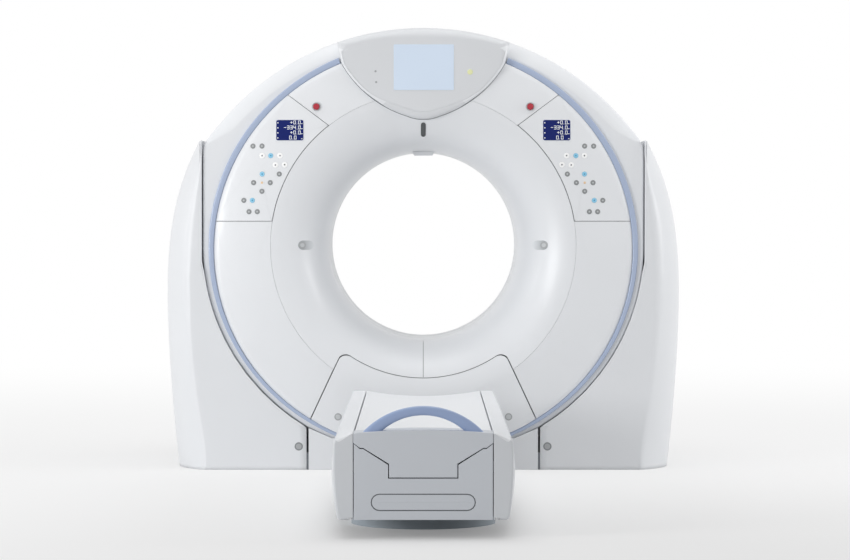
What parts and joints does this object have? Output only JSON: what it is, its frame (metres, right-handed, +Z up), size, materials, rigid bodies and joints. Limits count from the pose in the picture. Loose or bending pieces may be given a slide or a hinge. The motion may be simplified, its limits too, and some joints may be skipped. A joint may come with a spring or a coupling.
{
  "type": "ct scanner",
  "caption": "Hospital CT scanner: tilting ring gantry with a flared round bore and a rotor inside, between floor-mounted side covers, and a lifting couch whose top slides into the bore.",
  "frame": {"origin": "on the floor under the middle of the bore", "axes": "+Z up, +Y along the bore from the couch to the rear, +X to the right of someone who stands at the couch's foot and faces the gantry"},
  "size_m": [2.1254, 3.47, 1.808],
  "materials": {
    "shell": "satin",
    "shell_shade": "satin",
    "panel": "satin",
    "light_guide": "satin",
    "clear_window": "gloss",
    "dark_display": "gloss",
    "pale_screen": "gloss",
    "key_rubber": "matte",
    "stop_red": "gloss",
    "lamp_lens": "gloss",
    "laser_glass": "gloss",
    "cap_grey": "satin",
    "handle_blue": "satin",
    "frame_paint": "satin",
    "machined_steel": "brushed",
    "rotor_cast": "satin",
    "ring_tracks": "satin",
    "lift_paint": "satin"
  },
  "bodies": {
    "stand": {"floor_frame": "frame_paint", "pedestal_left": "frame_paint", "pedestal_right": "frame_paint", "tilt_bearing_left": "machined_steel", "tilt_bearing_right": "machined_steel", "tilt_gearmotor": "lift_paint", "side_cover_left": "shell", "side_cover_right": "shell", "base_cover_front": "shell", "base_cover_rear": "shell", "cover_screws": "cap_grey", "couch_plinth": "shell_shade", "lift_column_base": "lift_paint"},
    "tilting_gantry": {"tilt_frame": "frame_paint", "main_bearing": "machined_steel", "brush_block": "lift_paint", "hood_casing": "shell", "front_cover": "shell", "front_funnel": "shell", "scan_window": "clear_window", "rear_funnel": "shell", "rear_cover": "shell", "light_ring": "light_guide", "console_housing": "panel", "console_screen": "pale_screen", "status_lamp": "lamp_lens", "upper_laser_window": "laser_glass", "sensor_tab": "panel", "side_laser_windows": "laser_glass", "service_panel": "shell", "service_panel_caps": "cap_grey", "control_panel_left": "panel", "control_panel_right": "panel", "display_left": "dark_display", "display_right": "dark_display", "key_mat_left": "key_rubber", "key_mat_right": "key_rubber"},
    "rotor": {"rotor_drum": "rotor_cast", "xray_tube": "frame_paint", "collimator": "machined_steel", "detector_bank": "lift_paint", "hv_generator": "frame_paint", "tube_cooler": "rotor_cast", "balance_weight": "machined_steel", "slip_ring": "ring_tracks"},
    "stop_left": {"stop_button_left": "stop_red"},
    "stop_right": {"stop_button_right": "stop_red"},
    "lift_lower": {"lift_stage_1": "lift_paint"},
    "lift_upper": {"lift_stage_2": "lift_paint"},
    "couch_body": {"lift_column_top": "lift_paint", "couch_frame": "frame_paint", "couch_side_left": "shell", "couch_side_right": "shell", "end_cover": "shell", "end_plate": "panel", "runners": "machined_steel"},
    "couch_top": {"carriage": "machined_steel", "cradle": "panel", "end_cap": "shell", "pull_handle": "handle_blue"}
  },
  "joints": [
    {"name": "gantry_tilt", "type": "hinge", "parent": "stand", "child": "tilting_gantry", "pos_m": [0, 0, 0.915], "axis": [1, 0, 0], "range_deg": [-30, 30]},
    {"name": "rotor_spin", "type": "hinge", "parent": "tilting_gantry", "child": "rotor", "pos_m": [0, 0, 0.915], "axis": [0, 1, 0], "continuous": true},
    {"name": "stop_press_left", "type": "slide", "parent": "tilting_gantry", "child": "stop_left", "axis": [0, 1, 0], "range_m": [0, 0.004], "stiffness_N_per_m": 400, "springref_m": -0.001},
    {"name": "stop_press_right", "type": "slide", "parent": "tilting_gantry", "child": "stop_right", "axis": [0, 1, 0], "range_m": [0, 0.004], "stiffness_N_per_m": 400, "springref_m": -0.001},
    {"name": "couch_lift", "type": "slide", "parent": "stand", "child": "couch_body", "axis": [0, 0, 1], "range_m": [0, 0.57]},
    {"name": "lift_lower_slide", "type": "slide", "parent": "stand", "child": "lift_lower", "axis": [0, 0, 1], "range_m": [0, 0.2]},
    {"name": "lift_upper_slide", "type": "slide", "parent": "stand", "child": "lift_upper", "axis": [0, 0, 1], "range_m": [0, 0.39]},
    {"name": "couch_top_feed", "type": "slide", "parent": "couch_body", "child": "couch_top", "axis": [0, 1, 0], "range_m": [0, 0.86]}
  ],
  "couplings": [
    {"joint": "lift_lower_slide", "follows": "couch_lift", "ratio": 0.33333},
    {"joint": "lift_upper_slide", "follows": "couch_lift", "ratio": 0.66667},
    {"joint": "couch_top_feed", "follows": "couch_lift", "ratio": 1.5}
  ]
}
